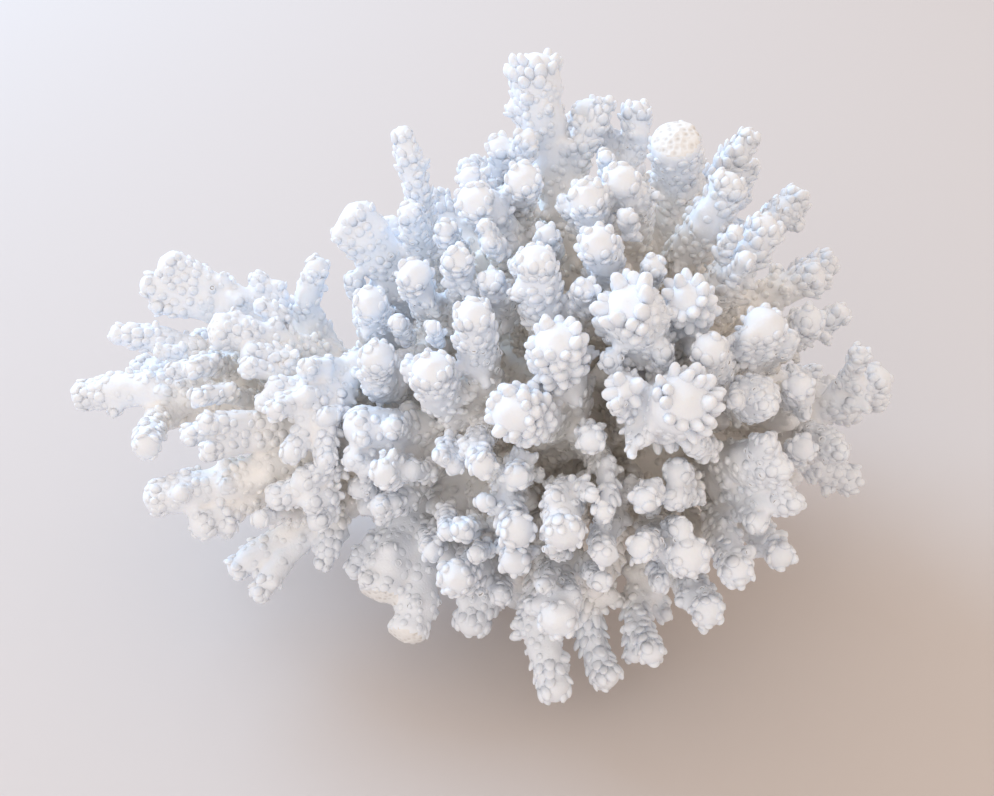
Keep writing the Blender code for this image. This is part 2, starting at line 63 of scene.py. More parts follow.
growth = {
    "rootDepth": 0.64,        # fingers leave their branch on the crown shrunk to this share
    "twigRoot": 0.82,         # and twigs leave their finger at this share
    "lowestTip": 10 * mm,
    "lowestRoot": 15 * mm,
    "tableClearance": 0.6 * mm,
    "stemWidth": 10 * mm,
    "stemTaper": 0.45,
    "stemBuried": 4 * mm,
    "stemStraight": 2.4 * mm,
    "forkHeight": 6 * mm,
    "forkLean": 0.2,
    "knobStep": 3.2 * mm,
    "knobSwell": 0.14,
    "tipBluntness": 0.16,
    "sideGap": 0.9 * mm,
    "crowdingReach": 14 * mm,
    "bendingRounds": 40,
    "massPush": 0.5,          # how much of an overlap one round takes away
    "crowdPush": 0.25,
    "smoothing": 0.12,
    "tipHold": 0.65,          # by how much less a finger's tip moves than its root
    "thinnest": 0.9 * mm,
    "mostThinning": 0.6,
    "seed": 11,
}

holdfast = {
    "ridgeLeft": Vector((-27, -2, 25)) * mm,
    "ridgeRight": Vector((13, 1, 27)) * mm,
    "leftRadius": 12 * mm,
    "rightRadius": 21 * mm,
    "footRadius": 18 * mm,
    "footTopRadius": 15 * mm,
    "footHeight": 20 * mm,
    "footBulge": 2 * mm,
    "spare": 3 * mm,          # below the cut
    "cutFacing": -0.9,        # what faces down by this and lies this low is the cut
    "cutHeight": 0.05 * mm,
    "lumps": 9,
    "lumpRadius": 6 * mm,
    "lumpSize": (0.85, 1.15),
    "lumpTurn": (-0.25, 0.25),
    "lumpOut": (-0.5, 1.0),   # in bulges
    "lumpHeight": (3, 13),    # of their middles, in mm
    "seatSink": 1.3 * mm,
    "seatSpacing": 11 * mm,
    "leastSlope": -0.10,
    "spreadingRounds": 200,
    "spreadingPush": 0.3,
    "grain": 0.6 * mm,
    "relax": 0.5,
    "stubGrain": 1.0 * mm,    # once the stubs stand on it
    "stubRelax": 0.6,
    "rough": ((7 * mm, 1.3 * mm), (2.8 * mm, 0.6 * mm)),  # size and height of its lumps
}


# A finger seen in the photograph: tip and root in pixels, width in mm, how far out its tip is as
# a share of the crown, and the least height of its tip over the table in mm
def finger(tip, root, width, depth=1.0, hang=10.0, nub=1.0, broken=False):
    return {"tip": tip, "root": root, "width": width * mm, "depth": depth, "hang": hang * mm,
            "nub": nub, "broken": broken}


# Fingers by the branch that carries them, from the colony's left end to its right
pictured = {
    "left_end_branch": [
        finger((69, 398), (190, 386), 6.6, nub=0.75),
        finger((105, 334), (206, 345), 5.8),
        finger((145, 453), (166, 404), 5.4),
        finger((187, 373), (232, 354), 4.6),
        finger((190, 403), (246, 388), 4.4),
    ],
    "left_upper_branch": [
        finger((156, 258), (240, 302), 6.4),
        finger((136, 282), (196, 298), 5.4),
        finger((146, 307), (200, 308), 4.0, 0.96),
        finger((204, 328), (300, 352), 6.8, broken=True),
        finger((256, 267), (264, 326), 4.4),
        finger((273, 276), (284, 326), 4.6, 0.96),
        finger((321, 258), (294, 326), 5.4),
    ],
    "left_lower_branch": [
        finger((139, 499), (250, 480), 7.0, nub=0.8),
        finger((188, 530), (252, 503), 6.0),
        finger((194, 423), (270, 414), 5.0),
        finger((198, 456), (256, 438), 4.8),
        finger((178, 438), (246, 428), 4.8, 0.96),
    ],
    "left_foot_branch": [
        finger((227, 577), (286, 530), 5.8, 1.0, 6),
        finger((253, 603), (292, 542), 5.4, 1.0, 3.0),
        finger((320, 574), (346, 502), 5.0, 1.0, 8),
        finger((252, 523), (284, 498), 3.8, 0.96),
    ],
    "left_face_branch": [
        finger((266, 414), (322, 396), 5.0),
        finger((300, 367), (350, 372), 4.8),
        finger((239, 366), (290, 374), 4.2, 0.96),
        finger((332, 468), (330, 440), 4.8, 0.95),
        finger((286, 462), (306, 440), 4.8, 0.94),
    ],
    "back_left_branch": [
        finger((398, 123), (426, 212), 5.2),
        finger((346, 202), (390, 262), 7.8),
        finger((332, 224), (372, 264), 4.6, 0.98),
        finger((407, 205), (426, 262), 5.6),
        finger((352, 272), (364, 320), 4.4),
    ],
    "upper_left_branch": [
        finger((368, 297), (396, 358), 6.4),
        finger((411, 267), (438, 338), 6.6),
        finger((456, 252), (462, 312), 5.6),
        finger((380, 353), (396, 402), 6.2, 0.98),
        finger((446, 226), (468, 268), 5.0, 0.96),
    ],
    "front_left_branch": [
        finger((340, 428), (400, 424), 7.2, nub=0.8),
        finger((342, 460), (396, 452), 5.4),
        finger((390, 426), (424, 432), 4.8, 0.92),
        finger((378, 474), (430, 462), 5.8),
        finger((372, 508), (440, 500), 5.4),
    ],
    "low_left_branch": [
        finger((380, 605), (397, 540), 8.4, broken=True),
        finger((347, 580), (372, 536), 4.6),
        finger((403, 645), (428, 586), 7.6, 1.0, 5, broken=True),
        finger((434, 556), (436, 526), 4.8, 0.95),
    ],
    "middle_left_branch": [
        finger((470, 304), (484, 390), 7.4, nub=0.8),
        finger((429, 362), (454, 424), 8.0),
        finger((487, 474), (492, 424), 6.0, 0.98),
        finger((406, 364), (424, 400), 4.4, 0.95),
    ],
    "top_left_branch": [
        finger((466, 196), (510, 248), 7.8),
        finger((466, 174), (502, 218), 5.0),
        finger((498, 138), (512, 206), 6.2),
        finger((528, 134), (518, 200), 5.4),
        finger((524, 176), (520, 226), 6.4, 0.98),
        finger((546, 230), (556, 266), 5.0, 0.9),
        finger((488, 272), (516, 326), 5.6, 0.92),
    ],
    "summit_branch": [
        finger((533, 49), (560, 180), 9.4, nub=1.25),
        finger((508, 97), (556, 170), 5.4),
        finger((606, 98), (580, 170), 5.4, 0.9),
    ],
    "top_branch": [
        finger((588, 105), (602, 190), 7.4),
        finger((634, 97), (634, 180), 6.4, 0.95),
        finger((586, 188), (596, 244), 7.2),
        finger((617, 172), (648, 232), 7.0),
    ],
    "top_right_branch": [
        finger((675, 132), (680, 222), 9.4, broken=True),
        finger((758, 129), (700, 196), 6.2),
        finger((738, 171), (682, 254), 7.8),
    ],
    "upper_middle_branch": [
        finger((533, 247), (548, 338), 7.4, nub=0.75),
        finger((588, 286), (572, 322), 5.0, 0.95),
        finger((592, 236), (614, 284), 7.2),
        finger((654, 262), (648, 296), 5.4, 0.95),
    ],
    "centre_branch": [
        finger((553, 331), (572, 404), 8.6, nub=1.2),
        finger((501, 411), (562, 420), 8.2, nub=1.1),
        finger((592, 442), (590, 430), 5.4, 0.92),
        finger((597, 522), (592, 462), 5.0, 0.97),
    ],
    "centre_right_branch": [
        finger((620, 296), (654, 358), 10.0, 1.02, nub=1.5),
        finger((684, 289), (700, 350), 7.4, 0.98, nub=1.4),
        finger((690, 398), (652, 416), 10.4, 1.06, nub=1.6),
        finger((626, 384), (628, 406), 5.0, 1.0, nub=1.4),
    ],
    "right_upper_branch": [
        finger((774, 213), (708, 304), 7.4),
        finger((828, 273), (758, 300), 7.2, 0.9),
    ],
    "right_face_branch": [
        finger((772, 315), (730, 372), 7.6),
        finger((795, 333), (748, 372), 5.8, 0.97, nub=0.65),
        finger((708, 344), (716, 384), 6.4),
        finger((772, 414), (734, 392), 7.0, nub=0.65),
        finger((851, 307), (782, 348), 5.6, 0.9),
        finger((812, 318), (778, 350), 6.8, 0.92),
    ],
    "right_end_branch": [
        finger((892, 371), (800, 424), 7.4),
        finger((862, 347), (846, 392), 4.4, 0.98),
        finger((800, 384), (786, 410), 6.0, 0.95),
        finger((847, 455), (794, 432), 6.6, 0.95, nub=0.65),
    ],
    "right_lower_branch": [
        finger((808, 508), (716, 476), 7.4, nub=0.6),
        finger((794, 470), (716, 462), 7.8, nub=0.6),
        finger((769, 434), (744, 478), 5.6, 0.98, nub=0.65),
        finger((806, 446), (768, 468), 5.2, 0.9),
        finger((741, 583), (712, 506), 6.4),
        finger((785, 561), (738, 510), 6.0, 0.96),
    ],
    "low_right_branch": [
        finger((696, 563), (652, 528), 7.6),
        finger((632, 550), (640, 512), 6.2, 0.98),
        finger((712, 617), (674, 560), 6.8),
        finger((658, 661), (620, 588), 5.8, 1.0, 9),
        finger((636, 667), (612, 598), 5.2, 0.9, 5),
        finger((667, 626), (648, 580), 5.0, 0.86, 8),
    ],
    "front_right_branch": [
        finger((610, 561), (606, 502), 5.8),
        finger((614, 690), (578, 612), 6.4),
        finger((640, 502), (618, 488), 5.6, 0.96),
    ],
    "front_branch": [
        finger((566, 548), (572, 468), 7.4, 1.03),
        finger((556, 628), (566, 556), 7.4, 1.03),
        finger((558, 706), (552, 626), 7.4),
        finger((603, 578), (580, 560), 4.0, 1.0),
    ],
    "front_low_branch": [
        finger((464, 638), (490, 572), 7.8),
        finger((450, 580), (496, 548), 7.4),
        finger((528, 537), (532, 470), 6.6, 0.98),
        finger((512, 478), (532, 466), 6.0, 0.94),
        finger((460, 530), (494, 520), 4.4, 0.95),
        finger((514, 566), (516, 516), 6.0, 0.95),
    ],
}

# The far side and the underside: the mass a branch belongs to, its direction in degrees and the
# number of fingers on it
unseen = {
    "back_right_branch": {"of": crown, "azimuth": 38, "elevation": 22, "fingers": 5},
    "back_middle_branch": {"of": crown, "azimuth": 74, "elevation": 14, "fingers": 6},
    "back_branch": {"of": crown, "azimuth": 106, "elevation": 26, "fingers": 6},
    "back_upper_branch": {"of": crown, "azimuth": 136, "elevation": 24, "fingers": 5},
    "back_end_branch": {"of": lobe, "azimuth": 126, "elevation": 6, "fingers": 5},
    "back_low_branch": {"of": crown, "azimuth": 92, "elevation": -16, "fingers": 4},
    "right_under_branch": {"of": crown, "azimuth": 8, "elevation": -14, "fingers": 4},
}
unseenFinger = {"width": 6.6 * mm, "reach": (1.0, 1.12), "spacing": 5.6 * mm, "tries": 60,
                "tipSpacing": 9.5 * mm}


# Places from pixels


def forwardWay():
    elevation = photo["elevation"]
    return Vector((0, math.cos(elevation), -math.sin(elevation)))


def rayThrough(pixel):
    forward = forwardWay()
    right = Vector((1, 0, 0))
    up = right.cross(forward)
    perPixel = photo["sensor"] / photo["lens"] / photo["width"]
    across = (pixel[0] - photo["width"] / 2) * perPixel
    down = (pixel[1] - photo["height"] / 2) * perPixel
    eye = photo["aim"] - forward * photo["distance"]
    return eye, (forward + right * across - up * down).normalized()


def over(vector, radii):
    return Vector((vector.x / radii.x, vector.y / radii.y, vector.z / radii.z))


# Where the line of sight first meets the crown or the lobe, shrunk to a share of its size, or
# where it passes nearest to one of them, at least `lowest` over the table
def placeOnCrown(pixel, share, lowest):
    eye, sight = rayThrough(pixel)
    hits = []
    passes = []
    for mass in (crown, lobe):
        start = over(eye - mass["centre"], mass["radii"] * share)
        step = over(sight, mass["radii"] * share)
        nearest = -start.dot(step) / step.length_squared
        miss = (start + step * nearest).length
        if miss < 1:
            hits.append(nearest - math.sqrt((1 - miss * miss) / step.length_squared))
        passes.append((miss, nearest))
    along = min(hits) if hits else min(passes)[1]
    return eye + sight * min(along, (lowest - eye.z) / sight.z)


# The skeleton: every stem and finger as a line of round sections


def ridgePoint(place):
    along = holdfast["ridgeRight"] - holdfast["ridgeLeft"]
    share = (place - holdfast["ridgeLeft"]).dot(along) / along.length_squared
    share = max(0.0, min(1.0, share))
    radius = holdfast["leftRadius"] + (holdfast["rightRadius"] - holdfast["leftRadius"]) * share
    return holdfast["ridgeLeft"] + along * share, radius


def seatTowards(place):
    inside, radius = ridgePoint(place)
    way = place - inside
    way.z = max(way.z, holdfast["leastSlope"] * way.length)
    way.normalize()
    return inside + way * (radius - holdfast["seatSink"]), way


def picturedFingers():
    found = {}
    for branch, rows in pictured.items():
        found[branch] = [
            dict(row, tip=placeOnCrown(row["tip"], row["depth"], row["hang"]),
                 root=placeOnCrown(row["root"], row["depth"] * growth["rootDepth"],
                                   growth["lowestRoot"]))
            for row in rows]
    return found


# Fingers in a sunflower order round each unseen branch, clear of all the tips so far
def unseenFingers(tips, dice):
    found = {}
    goldenTurn = math.pi * (3 - math.sqrt(5))
    for branch, row in unseen.items():
        azimuth, elevation = math.radians(row["azimuth"]), math.radians(row["elevation"])
        way = Vector((math.cos(azimuth) * math.cos(elevation),
                      math.sin(azimuth) * math.cos(elevation), math.sin(elevation)))
        centre, radii = row["of"]["centre"], row["of"]["radii"]
        side = way.cross(Vector((0, 0, 1))).normalized()
        above = side.cross(way)
        fingers = []
        for n in range(unseenFinger["tries"]):
            turn = n * goldenTurn
            aside = side * math.cos(turn) + above * math.sin(turn)
            tip = way * radii + aside * unseenFinger["spacing"] * math.sqrt(n)
            tip = centre + tip / over(tip, radii).length * dice.uniform(*unseenFinger["reach"])
            tip.z = max(tip.z, growth["lowestTip"])
            if any((tip - other).length < unseenFinger["tipSpacing"] for other in tips):
                continue
            tips.append(tip)
            root = centre + (tip - centre) * growth["rootDepth"]
            root.z = max(root.z, growth["lowestRoot"])
            fingers.append({"tip": tip, "root": root, "width": unseenFinger["width"],
                            "nub": 1.0, "broken": False})
            if len(fingers) == row["fingers"]:
                break
        found[branch] = fingers
    return found


def spreadSeats(seats):
    spacing = holdfast["seatSpacing"]
    for _ in range(holdfast["spreadingRounds"]):
        for seat in seats:
            push = Vector()
            for other in seats:
                apart = seat["at"] - other["at"]
                if 0 < apart.length < spacing:
                    overlap = spacing - apart.length
                    push += apart.normalized() * overlap * holdfast["spreadingPush"]
            seat["at"], seat["way"] = seatTowards(
                seat["at"] + seat["way"] * growth["stemStraight"] + push)


def curved(points, step):
    line = []
    for n in range(len(points) - 1):
        before = points[max(n - 1, 0)]
        start, end = points[n], points[n + 1]
        after = points[min(n + 2, len(points) - 1)]
        steps = max(2, round((end - start).length / step))
        for k in range(steps):
            t = k / steps
            line.append(0.5 * (2 * start + (end - before) * t
                               + (2 * before - 5 * start + 4 * end - after) * t * t
                               + (3 * start - before - 3 * end + after) * t * t * t))
    line.append(points[-1].copy())
    return line


def distancesAlong(points):
    along = [0.0]
    for a, b in zip(points, points[1:]):
        along.append(along[-1] + (b - a).length)
    return along


# One finger from its seat to its tip: sections, radii, and how freely each one may move
def lineOf(row, seat):
    full = row["width"] / 2
    stem = growth["stemWidth"] / 2
    fork = (seat["at"] + seat["way"] * growth["forkHeight"]).lerp(seat["middle"],
                                                                 growth["forkLean"])
    points = curved([seat["at"] - seat["way"] * growth["stemBuried"],
                     seat["at"] + seat["way"] * growth["stemStraight"],
                     fork, row["root"], row["tip"]], growth["knobStep"])
    back = (points[-2] - points[-1]).normalized()
    points.insert(-1, points[-1] + back * full * (1 - math.sqrt(0.5)))
    along = distancesAlong(points)
    length = along[-1]
    radii = []
    for n, distance in enumerate(along):
        taper = min(1.0, distance / length / growth["stemTaper"])
        thick = stem + (full - stem) * taper
        left = length - distance
        if left < full:
            thick = full * math.sqrt(max(growth["tipBluntness"], 1 - (1 - left / full) ** 2))
        elif n % 2 == 0:
            thick *= 1 + growth["knobSwell"]
        radii.append(thick)
    fixed = growth["stemBuried"] + growth["stemStraight"] + 0.01 * mm
    free = [0.0 if d < fixed else 1 - growth["tipHold"] * d / length for d in along]
    return {"branch": seat["branch"], "seat": seat, "points": points, "radii": radii,
            "free": free, "full": full, "nub": row["nub"], "broken": row["broken"]}


# The way and the distance by which a finger's section has to leave the holdfast
def outOfMass(line, n):
    point, radius, seat = line["points"][n], line["radii"][n], line["seat"]
    above = (point - seat["at"]).dot(seat["way"])
    aside = (point - seat["at"] - seat["way"] * above).length
    if aside < holdfast["seatSink"]:
        return Vector()
    inside, massRadius = ridgePoint(point)
    away = point - inside
    room = massRadius + radius + growth["sideGap"]
    push = away.normalized() * max(0.0, room - away.length)
    if point.z < holdfast["footHeight"]:
        away = Vector((point.x, point.y, 0))
        room = holdfast["footRadius"] + holdfast["footBulge"] + radius + growth["sideGap"]
        push += away.normalized() * max(0.0, room - away.length)
    return push


def indexOf(lines):
    spots = [(line, n) for line in lines for n in range(len(line["points"]))]
    tree = kdtree.KDTree(len(spots))
    for k, (line, n) in enumerate(spots):
        tree.insert(line["points"][n], k)
    tree.balance()
    return spots, tree


# The sections of other branches' fingers that come too near this one
def crowders(line, n, spots, tree):
    for _, k, distance in tree.find_range(line["points"][n], growth["crowdingReach"]):
        other, m = spots[k]
        room = line["radii"][n] + other["radii"][m] + growth["sideGap"]
        if other["branch"] != line["branch"] and 0 < distance < room:
            yield other, m, distance, room


# Bends the fingers of different branches away from each other and off the holdfast
def bendApart(lines):
    for _ in range(growth["bendingRounds"]):
        spots, tree = indexOf(lines)
        for line in lines:
            for n, point in enumerate(line["points"]):
                push = outOfMass(line, n) * growth["massPush"]
                for other, m, distance, room in crowders(line, n, spots, tree):
                    away = (point - other["points"][m]).normalized()
                    push += away * (room - distance) * growth["crowdPush"]
                line["points"][n] = point + push * line["free"][n]
        for line in lines:
            points = line["points"]
            smooth = [point.copy() for point in points]
            for n in range(2, len(points) - 1):
                if line["free"][n]:
                    between = (points[n - 1] + points[n + 1]) / 2
                    smooth[n] = points[n].lerp(between, growth["smoothing"])
            for point, radius in zip(smooth, line["radii"]):
                point.z = max(point.z, radius * (1 + growth["knobSwell"])
                              + growth["tableClearance"])
            line["points"] = smooth


# Thins what still touches after the bending
def thinApart(lines):
    spots, tree = indexOf(lines)
    thinned = []
    for line in lines:
        radii = []
        for n, radius in enumerate(line["radii"]):
            limit = radius
            for other, m, distance, _ in crowders(line, n, spots, tree):
                share = radius / (radius + other["radii"][m])
                limit = min(limit, (distance - growth["sideGap"]) * share)
            if line["free"][n]:
                least = radius * growth["mostThinning"]
                limit = min(limit, max(least, radius - outOfMass(line, n).length))
            radii.append(max(limit, growth["thinnest"]))
        thinned.append(radii)
    for line, radii in zip(lines, thinned):
        line["radii"] = radii


def grow():
    dice = random.Random(growth["seed"])
    branches = picturedFingers()
    tips = [row["tip"] for fingers in branches.values() for row in fingers]
    branches.update(unseenFingers(tips, dice))
    seats = []
    for name, fingers in branches.items():
        middle = sum((row["root"] for row in fingers), Vector()) / len(fingers)
        at, way = seatTowards(middle)
        seats.append({"branch": name, "at": at, "way": way, "middle": middle})
    spreadSeats(seats)
    lines = [lineOf(row, seat) for seat in seats for row in branches[seat["branch"]]]
    bendApart(lines)
    thinApart(lines)
    return seats, lines, dice


# Materials


def newMaterial(name):
    material = bpy.data.materials.new(name)
    material.use_nodes = True
    return material, material.node_tree.nodes["Principled BSDF"]


# Gives a node's inputs their values, or the outputs of other nodes
def feed(material, node, inputs):
    for name, value in inputs.items():
        if isinstance(value, bpy.types.NodeSocket):
            material.node_tree.links.new(value, node.inputs[name])
        else:
            node.inputs[name].default_value = value


# Makes a node with its settings and inputs, and gives its outputs
def addNode(material, kind, inputs, **settings):
    node = material.node_tree.nodes.new("ShaderNode" + kind)
    for setting, value in settings.items():
        setattr(node, setting, value)
    feed(material, node, inputs)
    return node.outputs


def addRamp(material, share, tints, interpolation="LINEAR"):
    node = material.node_tree.nodes.new("ShaderNodeValToRGB")
    feed(material, node, {"Fac": share})
    ramp = node.color_ramp
    ramp.interpolation = interpolation
    for stop, (position, colour) in zip(ramp.elements, (tints[0], tints[-1])):
        stop.position, stop.color = position, colour
    for position, colour in tints[1:-1]:
        ramp.elements.new(position).color = colour
    return node.outputs["Color"]


skeletonLook = {
    # from the middle of a mass outwards, each with its share of the way: tan, cream, bleached;
    # the warmer tan towards the middle is partly the chalk's own colour and partly painted shade
    # of the recesses
    "tints": ((0.60, (0.915, 0.88, 0.83, 1)), (0.86, (0.91, 0.908, 0.905, 1)),
              (1.0, (0.825, 0.866, 0.93, 1))),
    "stainScale": 110,
    "stainShift": 0.30,       # how far clouds of stain move the borders between them
    # painted crease shade, with some dust: the darker, warmer tint of the hollows
    "dustAndShade": (0.90, 0.868, 0.832, 1),
    "creases": (0.50, 0.43),  # pointiness where the dust and painted crease shade begin and where they are thickest
    "dustAndShadeAmount": 0.6,
    "roughness": (0.43, 0.70),  # where it is worn, and where it isn't
    "glow": 0.12,             # how much light passes through the thin chalk
    "glowDepth": 0.8 * mm,
    "glowColour": (1.0, 0.8, 0.62),
    "grainScale": 2600,
    "pitScale": 1500,
    "pitWidth": 0.35,
    "pitShare": 0.6,
    "relief": 0.35,
    "reliefHeight": 0.12 * mm,
}


# Bleached chalk: white on the fingers, cream to tan towards the middle of each mass, where the
# tint is partly its own colour and partly painted shade of the deep recesses
def bleachedSkeleton():
    look = skeletonLook
    material, surface = newMaterial("bleached_skeleton")
    place = addNode(material, "TexCoord", {})["Object"]
    depths = []
    for mass in (crown, lobe):
        centre, radii = mass["centre"], mass["radii"]
        centred = addNode(material, "Mapping", {
            "Vector": place, "Scale": [1 / r for r in radii],
            "Location": [-c / r for c, r in zip(centre, radii)]})["Vector"]
        depths.append(addNode(material, "VectorMath", {0: centred}, operation="LENGTH")["Value"])
    depth = addNode(material, "Math", {0: depths[0], 1: depths[1]}, operation="MINIMUM")["Value"]
    stain = addNode(material, "TexNoise", {
        "Vector": place, "Scale": look["stainScale"], "Detail": 4})["Fac"]
    shifted = addNode(material, "Math", {0: stain, 1: look["stainShift"], 2: depth},
                      operation="MULTIPLY_ADD")["Value"]
    # painted shade: the tint warms towards the middle of each mass, where the recesses lie in
    # shade
    tintAndShade = addRamp(material, shifted, look["tints"], "EASE")
    # dust and painted shade in the creases between the nubs: darker and warmer where the surface
    # is hollow, where shade falls
    dustFrom, dustTo = look["creases"]
    dustAndShade = addNode(material, "MapRange", {
        "Value": addNode(material, "NewGeometry", {})["Pointiness"],
        "From Min": dustFrom, "From Max": dustTo, "To Max": look["dustAndShadeAmount"]})["Result"]
    colour = addNode(material, "Mix", {"Factor": dustAndShade, "A": tintAndShade, "B": look["dustAndShade"]},
                     data_type="RGBA")["Result"]
    # chalk is a little shinier where it is worn
    shiny, dull = look["roughness"]
    wear = addNode(material, "MapRange", {"Value": stain, "To Min": shiny, "To Max": dull})
    # fine grain, and pits between the grains
    grain = addNode(material, "TexNoise", {
        "Vector": place, "Scale": look["grainScale"], "Detail": 3})["Fac"]
    pits = addNode(material, "TexVoronoi", {"Vector": place, "Scale": look["pitScale"]})
    pits = addNode(material, "MapRange", {
        "Value": pits["Distance"], "From Max": look["pitWidth"]})["Result"]
    relief = addNode(material, "Math", {0: pits, 1: look["pitShare"], 2: grain},
                     operation="MULTIPLY_ADD")["Value"]
    bump = addNode(material, "Bump", {
        "Height": relief, "Strength": look["relief"], "Distance": look["reliefHeight"]})
    feed(material, surface, {
        "Base Color": colour, "Roughness": wear["Result"], "Normal": bump["Normal"],
        "Subsurface Weight": look["glow"], "Subsurface Radius": look["glowColour"],
        "Subsurface Scale": look["glowDepth"]})
    return material


cupLook = {
    "radius": 0.58 * mm,
    "hole": 0.36 * mm,
    "rim": 0.08 * mm,
    "floor": -0.12 * mm,
    "sunk": 0.35 * mm,        # how deep its wall goes into the surface
    "rimShare": 0.55,         # of the rim's width that lies flat
    "slopeShare": 0.35,       # and that slopes inwards
    "size": (0.7, 1.05),
    "lowest": 1 * mm,
    # painted shade of the hole: dark greys on the cup's floor
    "tints": ((0.35, (0.26, 0.24, 0.23, 1)), (0.7, (0.42, 0.40, 0.38, 1))),
    "shadeMottleScale": 700,
    "roughness": 0.8,
}


# Painted shade: the dark floor of a shallow cup stands in for the shadow in its hole, mottled by
# noise
def cupFloorShade():
    material, surface = newMaterial("cup_floor_painted_shade")
    place = addNode(material, "TexCoord", {})["Object"]
    dustAndShade = addNode(material, "TexNoise", {"Vector": place, "Scale": cupLook["shadeMottleScale"]})["Fac"]
    feed(material, surface, {"Base Color": addRamp(material, dustAndShade, cupLook["tints"]),
                             "Roughness": cupLook["roughness"]})
    return material


brokenLook = {
    # the darker end is painted shade in the pits of the pores
    "tints": ((0.1, (0.64, 0.62, 0.60, 1)), (0.5, (0.83, 0.83, 0.83, 1))),
    "holeScale": 1100,
    "roughness": 0.75,
    "relief": 0.7,
    "reliefHeight": 0.3 * mm,
    "missing": 0.35,          # share of the round end that broke off
    "reach": 0.9,             # of the section, in radii
    "facing": 0.7,
    "bare": 0.6,              # radii from the end without nubs
}


# The porous grey section where a finger broke off, darker in its pits, which is painted shade in
# the pores
def brokenSection():
    look = brokenLook
    material, surface = newMaterial("broken_section")
    place = addNode(material, "TexCoord", {})["Object"]
    holes = addNode(material, "TexVoronoi", {"Vector": place, "Scale": look["holeScale"]})
    bump = addNode(material, "Bump", {
        "Height": holes["Distance"], "Strength": look["relief"],
        "Distance": look["reliefHeight"]})
    # painted shade: darker at the pits of the pores
    feed(material, surface, {
        "Base Color": addRamp(material, holes["Distance"], look["tints"]),
        "Roughness": look["roughness"], "Normal": bump["Normal"]})
    return material


# Modelling


def deselectAll():
    if bpy.context.mode != "OBJECT":
        bpy.ops.object.mode_set(mode="OBJECT")
    bpy.ops.object.select_all(action="DESELECT")


def pick(pieces):
    deselectAll()
    for piece in pieces:
        piece.select_set(True)
    bpy.context.view_layer.objects.active = pieces[0]


def joinAll(pieces):
    pick(pieces)
    bpy.ops.object.join()
    return pieces[0]


def addObject(name, data):
    added = bpy.data.objects.new(name, data)
    bpy.context.scene.collection.objects.link(added)
    return added


def applyModifier(piece, kind, **settings):
    pick([piece])
    modifier = piece.modifiers.new(kind.lower(), kind)
    for setting, value in settings.items():
        setattr(modifier, setting, value)
    bpy.ops.object.modifier_apply(modifier=modifier.name)


# Fuses overlapping shapes to one skin with soft creases, as the coral laid its chalk down
def fuseSkin(piece, grain, relax):
    applyModifier(piece, "REMESH", mode="VOXEL", voxel_size=grain)
    applyModifier(piece, "SMOOTH", factor=relax, iterations=1)


# Gives the place, the direction and a sideways direction at any distance along a line
def pathOf(points):
    along = distancesAlong(points)
    tangents = []
    for n in range(len(points)):
        a, b = points[max(n - 1, 0)], points[min(n + 1, len(points) - 1)]
        tangents.append((b - a).normalized())
    side = tangents[0].orthogonal().normalized()
    sides = []
    for tangent in tangents:
        side = (side - tangent * side.dot(tangent)).normalized()
        sides.append(side)

    def at(reach):
        n = max(0, min(len(points) - 2, bisect.bisect_right(along, reach) - 1))
        share = (reach - along[n]) / (along[n + 1] - along[n])
        inside = max(0.0, min(1.0, share))
        tangent = tangents[n].lerp(tangents[n + 1], inside).normalized()
        side = sides[n].lerp(sides[n + 1], inside)
        side = (side - tangent * side.dot(tangent)).normalized()
        return points[n].lerp(points[n + 1], share), tangent, side

    return at, along


fingerShape = {
    "segments": 12,
    "ringSpacing": 1.3 * mm,
    "nubHeight": 1.15 * mm,   # by which the bare body is thinner than the solid
    "tipNubs": 0.48,          # their height at the tip, as a share of that
    "dome": 0.3 * mm,         # by which the body is shorter than the solid
    "lumpSize": 8 * mm,
    "lumpiness": 0.22,
    "bumpSize": 2.4 * mm,
    "bumpiness": 0.10,
    "pointed": 2.1,           # length of a pored finger's narrow end, in radii
    "taper": 0.55,            # and how blunt it is
    "lowNubs": 2.5,           # radii from the tip where the nubs get lower
    "grain": 0.65 * mm,
    "relax": 0.6,
}
poredBelow = 0.7              # a finger with lower nubs than this is pored and pointed


# Thin fingers and worn ones have low nubs
def nubShare(line):
    worn = nubLook["worn"] if line["points"][-1].x < nubLook["wornLeftOf"] else 1.0
    thick = (line["full"] - nubLook["thinFinger"]) / nubLook["thicker"]
    return line["nub"] * worn * max(nubLook["least"], min(1.0, thick))


def bodyRadius(line, along, reach, left):
    n = max(0, min(len(along) - 2, bisect.bisect_right(along, reach) - 1))
    share = (reach - along[n]) / (along[n + 1] - along[n])
    radius = line["radii"][n] + (line["radii"][n + 1] - line["radii"][n]) * share
    nubs = fingerShape["nubHeight"] * min(1.0, nubShare(line))
    full = line["full"] - nubs * fingerShape["tipNubs"]
    nearTip = max(0.0, 1 - left / (line["full"] * fingerShape["lowNubs"]))
    radius = max(growth["thinnest"],
                 radius - nubs * (1 - nearTip * (1 - fingerShape["tipNubs"])))
    if line["nub"] < poredBelow and left < full * fingerShape["pointed"]:
        radius = full * (left / full / fingerShape["pointed"]) ** fingerShape["taper"]
    elif left < full:
        bend = 1 - left / full
        if line["broken"]:
            bend = max(0.0, bend - brokenLook["missing"])
        radius = full * math.sqrt(max(0.0, 1 - bend ** 2))
    return radius


